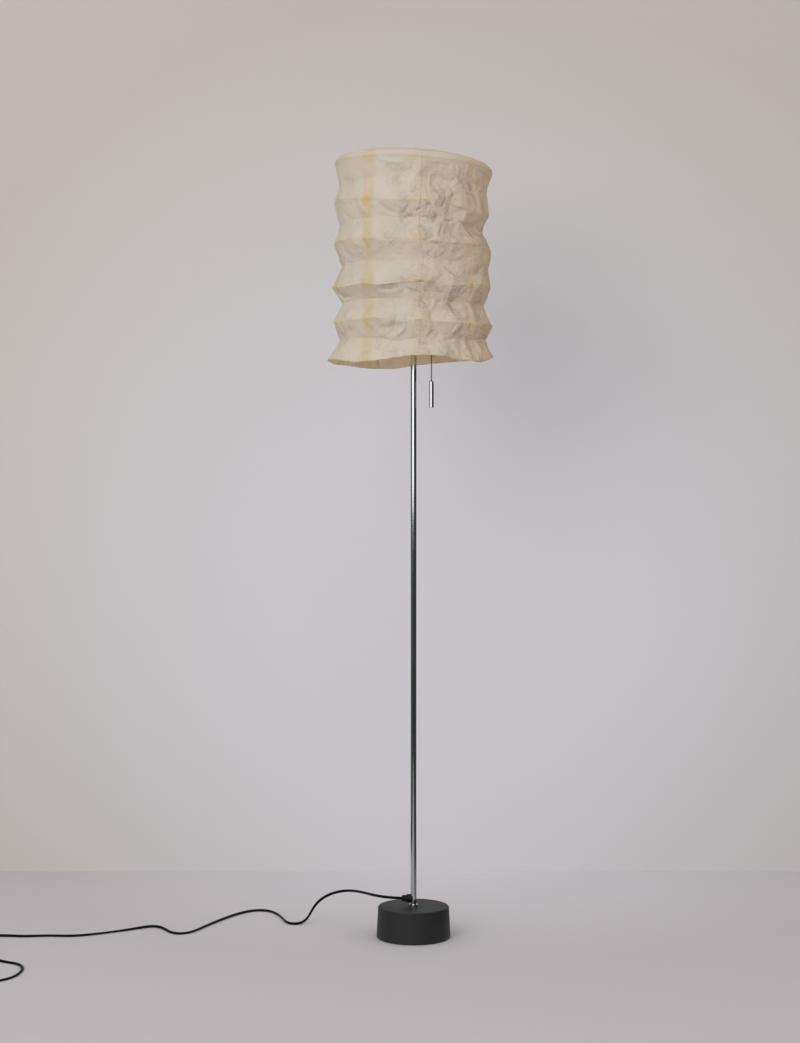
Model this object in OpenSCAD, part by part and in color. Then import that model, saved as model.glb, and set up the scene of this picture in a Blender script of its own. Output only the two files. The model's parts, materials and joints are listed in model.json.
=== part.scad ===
// Floor lamp with a pleated paper shade on a slim chrome pole and a heavy round foot.
// Millimetres, +Z up. The origin is the centre of the foot's underside, on the floor.
// The chain hangs on the +X side, the cord leaves on the -X side, and the front is -Y.

/* [Foot] */
// Diameter of the foot at the floor
foot_d = 150; // [120:1:200]
// Diameter of the foot's top face
foot_top_d = 143.8; // [110:0.2:190]
// Height of the foot's top face above the floor
foot_h = 64; // [50:1:90]
// Rounding of the foot's top edge
foot_round = 3; // [1:0.5:6]
// Thickness of the felt pad
felt_t = 1.5; // [1:0.5:4]
// Distance from the foot's edge to the felt's edge
felt_inset = 4; // [2:1:20]
// Diameter of the recess under the foot
recess_d = 64; // [40:1:90]
// Thickness of the foot's top above the recess
foot_top_t = 26; // [12:1:34]

/* [Pole] */
// Outer diameter of the pole
pole_d = 12; // [12:0.5:16]
// Wall of the pole's tube
pole_wall = 1; // [0.8:0.1:1.2]
// Height of the pole's top above the floor
pole_top = 1240; // [900:5:1500]
// Diameter of the collar at the pole's foot
collar_d = 18; // [18:0.5:28]
// Height of the collar at the pole's foot
collar_h = 4; // [3:0.5:8]
// Diameter of the stud that holds the pole to the foot
stud_d = 8; // [6:0.5:8]
// Length of the threaded insert in the pole's foot
insert_l = 10; // [8:1:10]

/* [Cable gland] */
// Height of the gland's axis above the foot's top face
gland_rise = 15.5; // [13:0.5:40]
// Diameter of the gland's body
gland_d = 16.7; // [15:0.1:20]
// Length of the gland's body outside the pole
gland_body_l = 8.4; // [6:0.2:14]
// Diameter of the gland's nut
gland_nut_d = 13; // [12:0.2:15]
// Length of the gland's nut
gland_nut_l = 9.6; // [8:0.2:14]

/* [Cord] */
// Width of the flat flex
cord_w = 5.6; // [4.6:0.1:6]
// Thickness of the flat flex
cord_t = 3.4; // [2.6:0.1:3.6]
// Number of turns in the coil
coil_turns = 4.25; // [2.25:1:6.25]
// Diameter of the coil at the middle of its turns
coil_d = 66; // [64:1:80]
// Gap between neighbouring turns and layers
coil_gap = 0.5; // [0.5:0.1:1]

/* [Lampholder] */
// Outer diameter of the lampholder
holder_d = 40; // [38:0.5:46]
// Height of the lampholder's cup, which holds the switch
cup_h = 33; // [32:1:45]
// Height of the lampholder's shell above the cup
shell_h = 40; // [38:1:50]
// Wall of the cup and the shell
holder_wall = 1.3; // [1:0.1:2]
// Outer diameter of the nut that clamps the shade's carrier
ring_nut_d = 46; // [44:1:48]

/* [Pull switch] */
// Distance from the pole's axis to the pull chain
chain_x = 36; // [34:0.5:44]
// How far the chain pulls down
pull_travel = 6; // [3:0.5:6]
// Diameter of a bead
bead_d = 3.2; // [2.4:0.1:3.4]
// Distance from bead to bead
bead_pitch = 4.6; // [4.2:0.1:5.2]
// Number of beads above the connector
upper_beads = 11; // [6:1:14]
// Number of beads below the connector
lower_beads = 14; // [8:1:18]
// Diameter of the pull bob
bob_d = 9.5; // [6:0.5:14]
// Length of the pull bob
bob_l = 55; // [30:1:70]

/* [Bulb] */
// Diameter of the bulb's glass
bulb_d = 60; // [45:1:66]
// Length of the bulb's glass
bulb_l = 84; // [78:1:100]
// Thickness of the bulb's glass
glass_t = 0.8; // [0.6:0.1:1.2]

/* [Shade] */
// Height of the shade's top ring above the pole's top
rim_rise = 310; // [290:5:380]
// Diameter of the paper over the top ring
shade_d = 316.6; // [280:0.2:360]
// Length of the shade from its top ring to its hem
shade_l = 381; // [330:1:390]
// Depth of the pleats
fold_depth = 15; // [6:1:20]
// Flare of the hem past the pleats
hem_flare = 8; // [0:1:12]
// Thickness of the paper
paper_t = 0.6; // [0.5:0.1:1]
// Diameter of the wire of the shade's frame
wire_d = 3; // [2.5:0.1:4]
// How much lower than its middle the top ring hangs on the chain's side
rim_drop = 9.6; // [0:0.2:12]
// How much higher than its middle the top ring stands in front
rim_lift = 5.4; // [0:0.2:8]

/* [Hidden] */
$fn = 48;

// Clearances
press = 0.02;      // between pieces pressed or screwed together
slip = 0.05;       // between pieces that slide or turn in each other
free = 0.3;        // between pieces that only pass each other
cut = 1;           // how far a cutting shape runs past what it cuts

// ---- foot ----
recess_top = foot_h - foot_top_t;
stud_r = stud_d / 2;
washer_d = 28;
washer_t = 2.5;
nut_af = 13;
nut_h = 6.5;
stud_below = 3;    // how far the stud stands out of its nut
foot_edge = 1.5;   // bevel of the foot's lower edge
pole_seat = 1;     // thickness of the collar's ledge under the pole
collar_edge = 1.2; // bevel of the collar's upper edge

// ---- pole ----
pole_r = pole_d / 2;
bore_r = pole_r - pole_wall;
pole_z = foot_h + pole_seat;
insert_top = pole_z + insert_l;

// ---- gland ----
gland_z = foot_h + gland_rise;
spigot_d = 8;
saddle_x = 3;      // how far round the pole the gland's body reaches
nose_d = 9.8;
nose_l = 6.5;
gland_bore_d = 6.4;
gland_face = pole_r + gland_body_l;      // where body and nut meet
cord_x = gland_face + gland_nut_l;       // where the cord leaves the nut
seal_l = 4;
rib_count = 14;
rib_d = 1.6;

// ---- pole head ----
head_collar_d = 16;
head_grip = 14;    // how much of the pole the head collar holds
head_plate = 5;    // its solid top
nipple_d = 10;
nipple_bore = 7.2;
nipple_below = 4.5;
screw_d = 4;
lock_af = 14;
lock_h = 3;

// ---- lampholder ----
cup_z = pole_top + head_plate;
holder_r = holder_d / 2;
shell_z = cup_z + cup_h;
nipple_top = cup_z + holder_wall + lock_h + 2;
cup_slope = 10;    // height of the cup's sloping base
block_z = cup_z + cup_slope + free;
block_top = shell_z - 1;
floor_t = 4;       // thickness of the shell's floor
flange_t = 4;      // height of the flange that the carrier sits on
flange_over = 2;   // how far the flange stands out
carrier_z = shell_z + 10;
carrier_t = 2;
ring_nut_h = 7;
nut_ribs = 20;
cap_r = 13;        // radius of the bulb's screw cap
cap_l = 25;
cap_tip = 2;       // height of the contact under the cap
cap_z = shell_z + floor_t + 4 + cap_tip;
cap_top = cap_z + cap_l;

// ---- pull switch ----
housing_w = 11;
housing_wall = 2;
housing_z = cup_z + 5;
housing_top = cup_z + cup_h - 2;
floor_z = housing_z + housing_wall;      // top of the housing's floor
bell_l = 7;
bell_r = 4.6;
bell_t = 0.8;      // wall of the bell's mouth
stem_d = 2.2;
head_d = 5.2;
head_t = 2;
lever_r = 1.5;                           // half the lever's thickness, and its round tip
lever_out = 13;                          // length of the lever's outer arm
lever_x = chain_x - lever_out;
lever_in = 9;                            // length of the lever's inner arm
lever_w = 3;
lever_boss = 0.9;                        // wall round the lever's pivot hole
pin_d = 2.4;
// how far the lever's inner arm rises at the cup's wall
lever_rise = pull_travel * (lever_x - holder_r + holder_wall) / lever_out;
lever_swing = lever_rise + lever_r + 1;  // room above and below the lever in the cup's slot
lever_z = housing_top - housing_wall - lever_r - lever_rise - free;
head_z = lever_z - lever_r - free - head_t;
chain_z = housing_z - bell_l;            // where the chain hinges, at the bell's mouth
wire_r = 0.45;                           // radius of the chain's links
spring_turns = 6;
spring_wire = 0.6;
spring_r = 1.9;
connector_l = 6;
connector_d = 5;
connector_bore = 3.9;
connector_roof = 1.5;
hinge_in = 1;                            // how deep the lower chain's first bead sits in the connector
connector_top = chain_z - (upper_beads - 0.5) * bead_pitch;
lower_z = connector_top - connector_l + hinge_in;
bob_top = lower_z - (lower_beads - 0.5) * bead_pitch;

// ---- shade ----
rim_z = pole_top + rim_rise;
rim_r = shade_d / 2;
paper_sides = 44;
ring_r = rim_r * cos(180 / paper_sides) - paper_t - 2 * free - wire_d / 2;
tilt = [-asin(rim_lift / rim_r), asin(rim_drop / rim_r), 0];
arm_count = 3;
arm_start = 27.5;
fold_count = 10;   // from rim to hem, valleys and crests in turn
// The paper has settled unevenly. One entry for the rim, each fold and the hem, in millimetres:
fold_sag = [0, 4, 5, 6, 5, 9, 9, 6, 5, -1, 3];            // how far each has slipped down
fold_bulge = [0, 2, -3, -1, 0, 4, 2, -2, 2, 3, 0];        // how far each stands out
fold_shift = [0, 0, -3, -4, -4, 4, -4, -2, -2, -2, -9];   // how far each has moved along X
fold_drop = [rim_drop, 7, 13, 10, 7, 4, 1, 4, 5, -1, -4]; // how much lower each is on +X
fold_lift = [rim_lift, 6, 2, 7, 1, 6, -3, 0, -3, -7, -1]; // how much higher each is in front
collar_rise = [18, 12, 4.5];    // the turned-in collar's heights above the rim
collar_in = [28, 8.5, 1];        // and how far inside the rim each one lies
// The waves in the hem: how many go round it, how high each is and how far round it starts
hem_waves = [[2, 4.4, 47], [3, 3.8, -28], [4, 3.2, 69], [5, 2.1, 107]];

// ---- cord ----
// The centre of the flex as it lies, from the gland to the coil
coil_c = [-836, -335];
coil_low = 3.1;      // height of the coil's lower layer, just clear of its tie
pitch = cord_w + coil_gap;
layer = cord_t + coil_gap + 0.2;
coil_in = coil_d / 2 - pitch * coil_turns / 4;
coil_out = coil_in + pitch * coil_turns / 2;
coil_lead = 6;     // the coil's straight ends
loop_rings = 24;
coil_start = [coil_c[0] + coil_lead, coil_c[1] - coil_out, coil_low];
coil_end = [coil_c[0] - coil_out, coil_c[1] + coil_lead, coil_low + layer];
run_points = [
    [-cord_x, 0, gland_z], [-cord_x - 28, 3, gland_z + 0.5], [-80, 28, 79], [-106, 82, 75], [-136, 136, 68],
    [-168, 152, 59], [-190, 148, 49], [-205, 144, 36], [-215, 136, 19], [-224, 122, 6],
    [-238, 107, 2], [-257, 108, 2], [-268, 131, 2], [-280, 184, 2], [-304, 236, 2],
    [-338, 242, 2], [-374, 208, 2], [-424, 104, 2], [-442, 58, 2], [-458, 28, 2],
    [-478, 17, 2], [-498, 31, 2], [-512, 64, 2], [-530, 87, 2], [-551, 84, 2],
    [-578, 60, 2], [-620, 36, 2], [-688, -8, 2], [-740, 8, 2], [-790, -8, 2],
    [-840, 8, 2], [-874, -16, 2], [-870, -74, 2], [-842, -146, 2], [-800, -214, 2],
    [-760, -224, 2], [-738, -266, 2], [-746, -340, 2], coil_start + [44, 0, 0], coil_start
];
// The last stretch, from the coil to the plug
sleeve_l = 22;
plug_z = 7;
tail_end = [coil_end[0] - 4, -262, plug_z];
tail_points = [
    coil_end, coil_end + [0, 14, 0], coil_end + [-1, 26, -1], coil_end + [-3, 40, -4],
    tail_end + [0, -8, -1], tail_end
];
plug_w = 35;
plug_t = 14;
plug_l = 38;
pin_gap = 19;
plug_pin_d = 4;
plug_pin_l = 19;
pin_bare = 9;      // the bare end of a pin, past its insulating sleeve
pin_core_d = 2.4;  // the pin inside its sleeve
pin_sleeve_d = 3.4;
pin_tip = 1;
tie_t = 0.8;
tie_w = 6;

// ---- functions ----
function unit(v) = v / norm(v);
function arc(c, r, from, to, steps) =
    [for (k = [0:steps]) let (a = from + (to - from) * k / steps) c + r * [cos(a), sin(a)]];

// A cubic B-spline that starts and ends on its first and last points
function spline_at(a, b, c, d, t) =
    (pow(1 - t, 3) * a + (3 * pow(t, 3) - 6 * t * t + 4) * b
     + (-3 * pow(t, 3) + 3 * t * t + 3 * t + 1) * c + pow(t, 3) * d) / 6;
function spline(points, steps) = let (
    n = len(points),
    all = concat([2 * points[0] - points[1]], points, [2 * points[n - 1] - points[n - 2]])
) concat(
    [for (i = [0:n - 2], k = [0:steps - 1]) spline_at(all[i], all[i + 1], all[i + 2], all[i + 3], k / steps)],
    [points[n - 1]]
);

function oval(w, t, sides) =
    [for (k = [0:sides - 1]) [w / 2 * cos(360 * k / sides), t / 2 * sin(360 * k / sides)]];
function heading(path, i) = unit(path[min(i + 1, len(path) - 1)] - path[max(i - 1, 0)]);
function ring_at(p, dir, section) = let (side = unit(cross(dir, [0, 0, 1])), up = cross(side, dir))
    [for (s = section) p + s[0] * side + s[1] * up];

// A solid tube along a path, its section kept level from side to side
module sweep(path, section, first, last) {
    n = len(section);
    m = len(path);
    end = (m - 1) * n;
    rings = [for (i = [0:m - 1])
        each ring_at(path[i], i == 0 ? first : i == m - 1 ? last : heading(path, i), section)];
    sides = [for (i = [0:m - 2], k = [0:n - 1]) let (a = i * n + k, b = i * n + (k + 1) % n)
        each [[a, b, b + n], [a, b + n, a + n]]];
    caps = [for (k = [1:n - 2]) each [[0, k + 1, k], [end, end + k, end + k + 1]]];
    polyhedron(concat(rings), concat(sides, caps), convexity = 8);
}

module tube(h, outer, inner) {
    difference() {
        cylinder(h = h, d = outer);
        translate([0, 0, -cut]) cylinder(h = h + 2 * cut, d = inner);
    }
}

module hex_nut(af, h, hole) {
    difference() {
        cylinder(h = h, d = af / cos(30), $fn = 6);
        translate([0, 0, -cut]) cylinder(h = h + 2 * cut, d = hole);
    }
}

// The flex's cross-section where it runs inside the lamp: a slot shape, width along Y
module flex_section(grow = 0) {
    r = cord_t / 2 + grow;
    straight = cord_w - cord_t;
    square([2 * r, straight], center = true);
    for (side = [-1, 1]) translate([0, side * straight / 2]) circle(r = r);
}

// ---- foot and pole ----
module foot() {
    r = foot_d / 2;
    top_r = foot_top_d / 2;
    lean = atan((r - top_r) / (foot_h - felt_t));
    color("#3a3a3b") rotate_extrude($fn = 96) difference() {
        polygon(concat(
            [[0, felt_t], [r - foot_edge, felt_t], [r, felt_t + foot_edge]],
            arc([top_r - foot_round, foot_h - foot_round], foot_round, lean, 90, 6),
            [[0, foot_h]]
        ));
        translate([0, felt_t - cut]) square([recess_d / 2, recess_top - felt_t + cut]);
        square([stud_r + free, foot_h + cut]);
    }
}

module felt_pad() {
    color("#2b2b2b") cylinder(h = felt_t, d = foot_d - 2 * felt_inset, $fn = 96);
}

module foot_washer() {
    color("#b9bbbd") translate([0, 0, recess_top - washer_t]) tube(washer_t, washer_d, stud_d + 2 * free);
}

module foot_nut() {
    color("#b9bbbd") translate([0, 0, recess_top - washer_t - nut_h])
        hex_nut(nut_af, nut_h, stud_d + 2 * press);
}

module foot_stud() {
    z = recess_top - washer_t - nut_h - stud_below;
    color("#a9abad") translate([0, 0, z]) cylinder(h = insert_top - 1 - z, d = stud_d);
}

module foot_collar() {
    color("#d5d8db") translate([0, 0, foot_h]) rotate_extrude() difference() {
        polygon([
            [0, 0], [collar_d / 2, 0], [collar_d / 2, collar_h - collar_edge],
            [collar_d / 2 - collar_edge, collar_h], [0, collar_h]
        ]);
        translate([0, -cut]) square([stud_r + free, collar_h + 2 * cut]);
        translate([0, pole_seat]) square([pole_r + slip, collar_h]);
    }
}

module pole() {
    color("#d9dcdf") difference() {
        translate([0, 0, pole_z]) tube(pole_top - pole_z, pole_d, 2 * bore_r);
        translate([-pole_r - cut, 0, gland_z]) rotate([0, 90, 0])
            cylinder(h = pole_r + cut, d = spigot_d + 2 * slip);
    }
}

module pole_insert() {
    color("#b08d4f") translate([0, 0, pole_z]) tube(insert_l, 2 * (bore_r - press), stud_d + 2 * press);
}

// ---- gland: its axis runs out along -X ----
module along_gland(x) {
    translate([-x, 0, gland_z]) rotate([0, -90, 0]) children();
}

module gland_body() {
    color("#161616") difference() {
        union() {
            difference() {
                along_gland(saddle_x) cylinder(h = gland_face - saddle_x, d = gland_d);
                translate([0, 0, gland_z - gland_d]) cylinder(h = 2 * gland_d, r = pole_r + press);
            }
            along_gland(bore_r + 0.2) cylinder(h = gland_face - bore_r - 0.2, d = spigot_d);
            along_gland(gland_face - cut) cylinder(h = nose_l + cut, d = nose_d);
        }
        along_gland(0) cylinder(h = cord_x, d = gland_bore_d);
    }
}

module gland_nut() {
    inside_l = gland_nut_l - 1.8;
    color("#161616") difference() {
        along_gland(gland_face) union() {
            cylinder(h = gland_nut_l - 1.5, d = gland_nut_d - rib_d);
            translate([0, 0, gland_nut_l - 1.5])
                cylinder(h = 1.5, d1 = gland_nut_d - rib_d, d2 = gland_nut_d - rib_d - 3);
            for (k = [0:rib_count - 1]) rotate(360 * k / rib_count)
                translate([(gland_nut_d - rib_d) / 2, 0, 0])
                    cylinder(h = gland_nut_l - 2, d = rib_d, $fn = 16);
        }
        along_gland(gland_face - cut) cylinder(h = inside_l + cut, d = nose_d + 2 * slip);
        along_gland(0) cylinder(h = cord_x + cut, d = gland_bore_d);
    }
}

module gland_seal() {
    color("#0e0e0e") along_gland(gland_face + nose_l - seal_l) linear_extrude(seal_l) difference() {
        circle(d = gland_bore_d - 2 * press);
        flex_section(press);
    }
}

// The flex inside the lamp, from the switch block down the pole and out through the gland
module inner_flex() {
    bend = pole_r;
    color("#1b1b1b") {
        translate([0, 0, gland_z + bend]) linear_extrude(block_top - 2 - gland_z - bend) flex_section();
        translate([-bend, 0, gland_z + bend]) rotate([90, 0, 0])
            rotate([0, 0, -90]) rotate_extrude(angle = 90) translate([bend, 0]) flex_section();
        along_gland(bend) linear_extrude(cord_x - bend) flex_section();
    }
}

// ---- pole head ----
module head_collar() {
    color("#d5d8db") translate([0, 0, pole_top - head_grip]) difference() {
        rotate_extrude() difference() {
            square([head_collar_d / 2, head_grip + head_plate]);
            translate([0, -cut]) square([pole_r + slip, head_grip + cut]);
            square([nipple_d / 2 + press, head_grip + head_plate + cut]);
        }
        translate([0, 0, head_grip / 2]) rotate([-90, 0, 0])
            cylinder(h = head_collar_d, d = screw_d + 2 * press);
    }
}

module head_screw() {
    color("#8e9092") translate([0, pole_r + slip, pole_top - head_grip / 2]) rotate([-90, 0, 0])
    difference() {
        cylinder(h = head_collar_d / 2 - pole_r, d = screw_d);
        translate([0, 0, head_collar_d / 2 - pole_r - 1]) cylinder(h = 2, d = 2.3, $fn = 6);
    }
}

module head_nipple() {
    z = pole_top + head_plate - nipple_below;
    color("#b08d4f") translate([0, 0, z]) tube(nipple_top - z, nipple_d, nipple_bore);
}

module nipple_nut() {
    color("#b9bbbd") translate([0, 0, cup_z + holder_wall + slip])
        hex_nut(lock_af, lock_h, nipple_d + 2 * press);
}

// ---- lampholder ----
module holder_cup() {
    base_r = head_collar_d / 2 + 3;
    inner_r = holder_r - holder_wall;
    color("#26211d") difference() {
        translate([0, 0, cup_z]) rotate_extrude($fn = 72) difference() {
            polygon([[0, 0], [base_r, 0], [holder_r, cup_slope], [holder_r, cup_h], [0, cup_h]]);
            polygon([
                [0, holder_wall], [base_r, holder_wall], [inner_r, cup_slope],
                [inner_r, cup_h + cut], [0, cup_h + cut]
            ]);
            translate([0, -cut]) square([nipple_d / 2 + press, cup_h]);
        }
        // the slot that the lever passes through
        translate([0, -housing_w / 2 + housing_wall, lever_z - lever_swing])
            cube([holder_r + cut, housing_w - 2 * housing_wall, 2 * lever_swing]);
    }
}

module switch_block() {
    slot_w = lever_w + 2 * free + 2;
    color("#e8e2d2") difference() {
        translate([0, 0, block_z]) cylinder(h = block_top - block_z, r = holder_r - holder_wall - slip);
        translate([0, 0, block_z - cut]) cylinder(h = cup_h, d = cord_w + 2 * free);
        translate([lever_x - lever_in - 2, -slot_w / 2, block_z - cut]) cube([holder_r, slot_w, cup_h]);
        for (side = [-1, 1]) translate([0, 11 * side, block_top - 5]) cylinder(h = 6, d = 3 + 2 * press);
    }
}

module terminal_screws() {
    color("#b08d4f") for (side = [-1, 1]) translate([0, 11 * side, block_top - 4]) difference() {
        union() {
            cylinder(h = 4, d = 3);
            translate([0, 0, 4 + slip]) cylinder(h = 0.9, d = 5);
            translate([0, 0, 3]) cylinder(h = 1.5, d = 3);
        }
        translate([-3, -0.3, 4.5]) cube([6, 0.6, 1]);
    }
}

module holder_shell() {
    thread_r = holder_r - 1;
    well_r = cap_r + 1.2;
    color("#26211d") translate([0, 0, shell_z]) difference() {
        union() {
            cylinder(h = carrier_z - shell_z, r = holder_r, $fn = 72);
            translate([0, 0, carrier_z - shell_z - flange_t])
                cylinder(h = flange_t, r = holder_r + flange_over, $fn = 72);
            cylinder(h = shell_h, r = thread_r, $fn = 72);
        }
        translate([0, 0, floor_t]) cylinder(h = shell_h, r = well_r);
        translate([0, 0, -cut]) cylinder(h = floor_t + 2 * cut, d = 5);
    }
}

module screw_shell() {
    color("#c9a45c") translate([0, 0, shell_z + floor_t])
        tube(cap_top - 2 - shell_z - floor_t, 2 * cap_r + 2.2, 2 * (cap_r + free));
}

module centre_contact() {
    w = 4;
    t = 0.8;
    rise = cap_z - cap_tip - shell_z - floor_t - 0.9;
    color("#c9a45c") translate([0, -w / 2, shell_z + floor_t]) {
        translate([-7, 0, 0]) cube([9, w, t]);
        translate([-1, 0, 0]) cube([1, w, rise]);
        translate([-3, 0, rise]) cube([6, w, t]);
    }
}

// ---- pull switch ----
module housing_plan(w) {
    translate([chain_x, 0]) circle(d = w);
    translate([holder_r - 2, -w / 2]) square([chain_x - holder_r + 2, w]);
}

module switch_housing() {
    inner_w = housing_w - 2 * housing_wall;
    color("#26211d") difference() {
        union() {
            translate([0, 0, housing_z]) linear_extrude(housing_top - housing_z) housing_plan(housing_w);
            translate([chain_x, 0, chain_z])
                cylinder(h = bell_l, r1 = bell_r + bell_t, r2 = stem_d / 2 + housing_wall);
        }
        translate([0, 0, floor_z])
            linear_extrude(housing_top - housing_wall - floor_z) housing_plan(inner_w);
        translate([0, 0, chain_z - cut]) cylinder(h = cup_h + bell_l, r = holder_r + press, $fn = 72);
        translate([chain_x, 0, chain_z - cut]) {
            cylinder(h = bell_l + housing_wall + 2 * cut, d = stem_d + 2 * free);
            cylinder(h = bell_l, r1 = bell_r, r2 = stem_d / 2 + free);
        }
        translate([lever_x, housing_w, lever_z]) rotate([90, 0, 0])
            cylinder(h = 2 * housing_w, d = pin_d + 2 * press);
    }
}

module pull_stem() {
    bottom = chain_z + bead_d / 2 + 0.35;
    color("#c9ccd0") translate([chain_x, 0, bottom]) {
        cylinder(h = head_z - bottom, d = stem_d);
        translate([0, 0, head_z - bottom]) cylinder(h = head_t, d = head_d);
    }
}

module return_spring() {
    low = floor_z + spring_wire / 2 + free;
    high = head_z - spring_wire / 2 - free;
    steps = 14 * spring_turns;
    path = [for (k = [0:steps]) let (a = 360 * spring_turns * k / steps)
        [chain_x + spring_r * cos(a), spring_r * sin(a), low + (high - low) * k / steps]];
    color("#9a9c9e") sweep(path, oval(spring_wire, spring_wire, 6), heading(path, 0), heading(path, steps));
}

module contact_lever() {
    color("#c9a45c") difference() {
        translate([0, lever_w / 2, 0]) rotate([90, 0, 0]) linear_extrude(lever_w) {
            translate([chain_x, lever_z]) circle(r = lever_r);
            translate([lever_x - lever_in, lever_z - lever_r]) square([lever_in + lever_out, 2 * lever_r]);
            translate([lever_x, lever_z]) circle(r = pin_d / 2 + lever_boss);
        }
        translate([lever_x, housing_w, lever_z]) rotate([90, 0, 0])
            cylinder(h = 2 * housing_w, d = pin_d + 2 * slip);
    }
}

module lever_pin() {
    color("#8e9092") translate([lever_x, (housing_w - 0.2) / 2, lever_z]) rotate([90, 0, 0])
        cylinder(h = housing_w - 0.2, d = pin_d);
}

// Beads on a thin link wire, hanging down from z = 0, with a last half link
module bead_chain(beads) {
    rotate_extrude($fn = 32) intersection() {
        union() {
            for (k = [0:beads - 1]) translate([0, -k * bead_pitch]) circle(d = bead_d, $fn = 32);
            translate([0, -(beads - 0.5) * bead_pitch]) square([wire_r, (beads - 0.5) * bead_pitch]);
        }
        translate([0, -beads * bead_pitch - cut]) square([bead_d, beads * bead_pitch + bead_d + cut]);
    }
}

module chain_upper() {
    color("#cfd2d5") translate([chain_x, 0, chain_z]) bead_chain(upper_beads);
}

module chain_connector() {
    color("#cfd2d5") translate([chain_x, 0, connector_top - connector_l]) rotate_extrude() difference() {
        square([connector_d / 2, connector_l]);
        translate([0, -cut]) square([connector_bore / 2, connector_l - connector_roof + cut]);
    }
}

module chain_lower() {
    color("#cfd2d5") translate([chain_x, 0, lower_z]) bead_chain(lower_beads);
}

module pull_bob() {
    r = bob_d / 2;
    neck = 2.5;
    edge = 0.6;
    color("#dfe2e5") translate([chain_x, 0, bob_top]) rotate_extrude() polygon([
        [0, 0], [1.6, 0], [r - edge, -neck + edge], [r, -neck - edge],
        [r, -bob_l + edge], [r - edge, -bob_l], [0, -bob_l]
    ]);
}

// ---- bulb ----
module bulb_outline(inset) {
    r = bulb_d / 2;
    neck_r = cap_r + 0.9;
    ball_z = bulb_l - r;
    touch = 35;      // where the neck's cone leaves the ball, below its middle
    translate([0, ball_z]) circle(r = r - inset);
    polygon([
        [0, -inset], [cap_r - inset, -inset], [neck_r - inset, 6],
        [(r - inset) * cos(touch), ball_z - (r - inset) * sin(touch)], [0, ball_z]
    ]);
}

module bulb_glass() {
    color("#f4f1e6", 0.8) translate([0, 0, cap_top]) rotate_extrude($fn = 64) intersection() {
        difference() {
            bulb_outline(0);
            bulb_outline(glass_t);
        }
        square([bulb_d, bulb_l]);
    }
}

module bulb_cap() {
    color("#c7c9cb") translate([0, 0, cap_z]) {
        translate([0, 0, -cap_tip]) cylinder(h = cap_tip, d1 = 9, d2 = 20);
        cylinder(h = cap_l, r = cap_r);
    }
}

// ---- shade frame ----
module carrier_ring() {
    color("#9fa2a5") translate([0, 0, carrier_z])
        tube(carrier_t, 2 * (arm_start + wire_d), holder_d - 2 + 2 * slip);
}

module ring_nut() {
    color("#26211d") translate([0, 0, carrier_z + carrier_t]) difference() {
        union() {
            cylinder(h = ring_nut_h, d = ring_nut_d - 2, $fn = 72);
            for (k = [0:nut_ribs - 1]) rotate(360 * k / nut_ribs)
                translate([ring_nut_d / 2 - 1, 0, 0]) cylinder(h = ring_nut_h, d = 2, $fn = 16);
        }
        translate([0, 0, -cut]) cylinder(h = ring_nut_h + 2 * cut, d = holder_d - 2 + 2 * slip, $fn = 72);
    }
}

// A point of the top ring's plane, turned as the ring is
function turned(p, a) = let (
    q = [p[0], p[1] * cos(a[0]) - p[2] * sin(a[0]), p[1] * sin(a[0]) + p[2] * cos(a[0])]
) [q[0] * cos(a[1]) + q[2] * sin(a[1]), q[1], -q[0] * sin(a[1]) + q[2] * cos(a[1])];

module carrier_arms() {
    color("#9fa2a5") for (k = [0:arm_count - 1]) {
        a = 60 + 360 * k / arm_count;
        low = [arm_start * cos(a), arm_start * sin(a), carrier_z + carrier_t + wire_d / 2 * 0.5 + slip];
        high = [0, 0, rim_z] + turned([ring_r * cos(a), ring_r * sin(a), 0], tilt);
        way = high - low;
        flat = norm([way[0], way[1]]);
        translate(low) rotate([0, 0, atan2(way[1], way[0])]) rotate([0, atan2(flat, way[2]), 0])
            cylinder(h = norm(way) - wire_d / 2 - free, d = wire_d);
    }
}

module top_ring() {
    color("#9fa2a5") translate([0, 0, rim_z]) rotate(tilt)
        rotate_extrude($fn = 96) translate([ring_r, 0]) circle(d = wire_d, $fn = 24);
}

// ---- shade paper ----
// A level of the shade: its height, radius, shift along X, drop on +X and lift in front
function fold_level(k) = [
    rim_z - shade_l * k / fold_count - fold_sag[k],
    rim_r - (k % 2 == 1 ? fold_depth : 0) + fold_bulge[k] + (k == fold_count ? hem_flare : 0),
    fold_shift[k], fold_drop[k], fold_lift[k]
];
paper_levels = concat(
    [for (k = [0:len(collar_rise) - 1])
        [rim_z + collar_rise[k], rim_r - collar_in[k], fold_shift[0], rim_drop, rim_lift]],
    [for (k = [0:fold_count]) fold_level(k)]
);
function hem_height(a) = [for (w = hem_waves) w[1] * sin(w[0] * a + w[2])] * [for (w = hem_waves) 1];
function wave(i, a) = i == len(paper_levels) - 1 ? hem_height(a) : 0;
// The direction out of the paper at a level, square to its profile
function paper_out(i) = let (
    above = paper_levels[max(i - 1, 0)],
    below = paper_levels[min(i + 1, len(paper_levels) - 1)]
) unit([above[0] - below[0], below[1] - above[1]]);
function paper_point(i, a, depth) = let (
    level = paper_levels[i],
    out = paper_out(i),
    r = level[1] - depth * out[0],
    rise = wave(i, a) - level[3] * r / rim_r * cos(a) - level[4] * r / rim_r * sin(a) - depth * out[1]
) [level[2] + r * cos(a), r * sin(a), level[0] + rise];

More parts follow.
